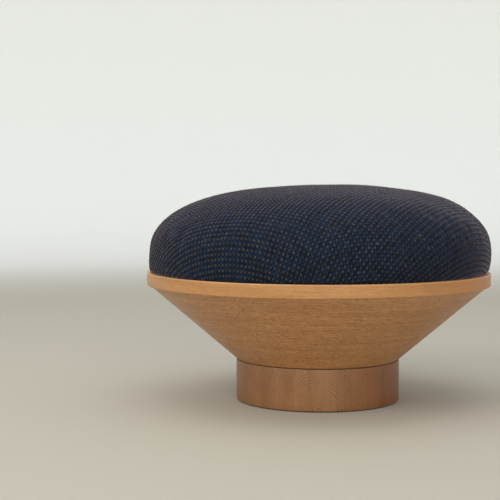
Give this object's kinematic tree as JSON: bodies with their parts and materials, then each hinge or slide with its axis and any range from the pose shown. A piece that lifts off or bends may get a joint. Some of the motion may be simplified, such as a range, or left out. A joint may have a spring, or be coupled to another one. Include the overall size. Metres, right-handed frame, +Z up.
{
  "type": "upholstered low floor seat",
  "caption": "Low round floor seat: a domed woven-fabric cushion resting in a conical coiled-wood bowl with a rim hoop, on a cylindrical wooden foot.",
  "frame": {"origin": "centre of the face of the felt ring that stands on the floor", "axes": "+Z up along the seat's axis of symmetry; -Y is the side the picture is taken from"},
  "size_m": [0.45, 0.45, 0.2825],
  "materials": {
    "felt": "matte",
    "plywood": "matte",
    "foot_veneer": "satin",
    "plain_wood": "matte",
    "coiled_wood": "satin",
    "bowl_floor": "satin",
    "steel": "satin",
    "rim_wood": "satin",
    "seat_plywood": "matte",
    "firm_foam": "matte",
    "soft_foam": "matte",
    "wadding": "matte",
    "cover_cloth": "matte",
    "dust_cloth": "matte"
  },
  "bodies": {
    "base": {"felt_ring": "felt", "foot_core": "plywood", "foot_veneer": "foot_veneer", "foot_plate": "plywood", "glue_blocks": "plain_wood", "bowl_shell": "coiled_wood", "bowl_floor": "bowl_floor", "floor_screws": "steel", "rim_hoop": "rim_wood", "support_ring": "plain_wood"},
    "cushion": {"seat_board": "seat_plywood", "base_foam": "firm_foam", "top_foam": "soft_foam", "wadding": "wadding", "seat_cover": "cover_cloth", "cover_staples": "steel", "dust_cloth": "dust_cloth", "dust_staples": "steel"}
  },
  "joints": [
    {"name": "cushion_lift", "type": "slide", "parent": "base", "child": "cushion", "axis": [0, 0, 1], "range_m": [0, 0.12]}
  ]
}
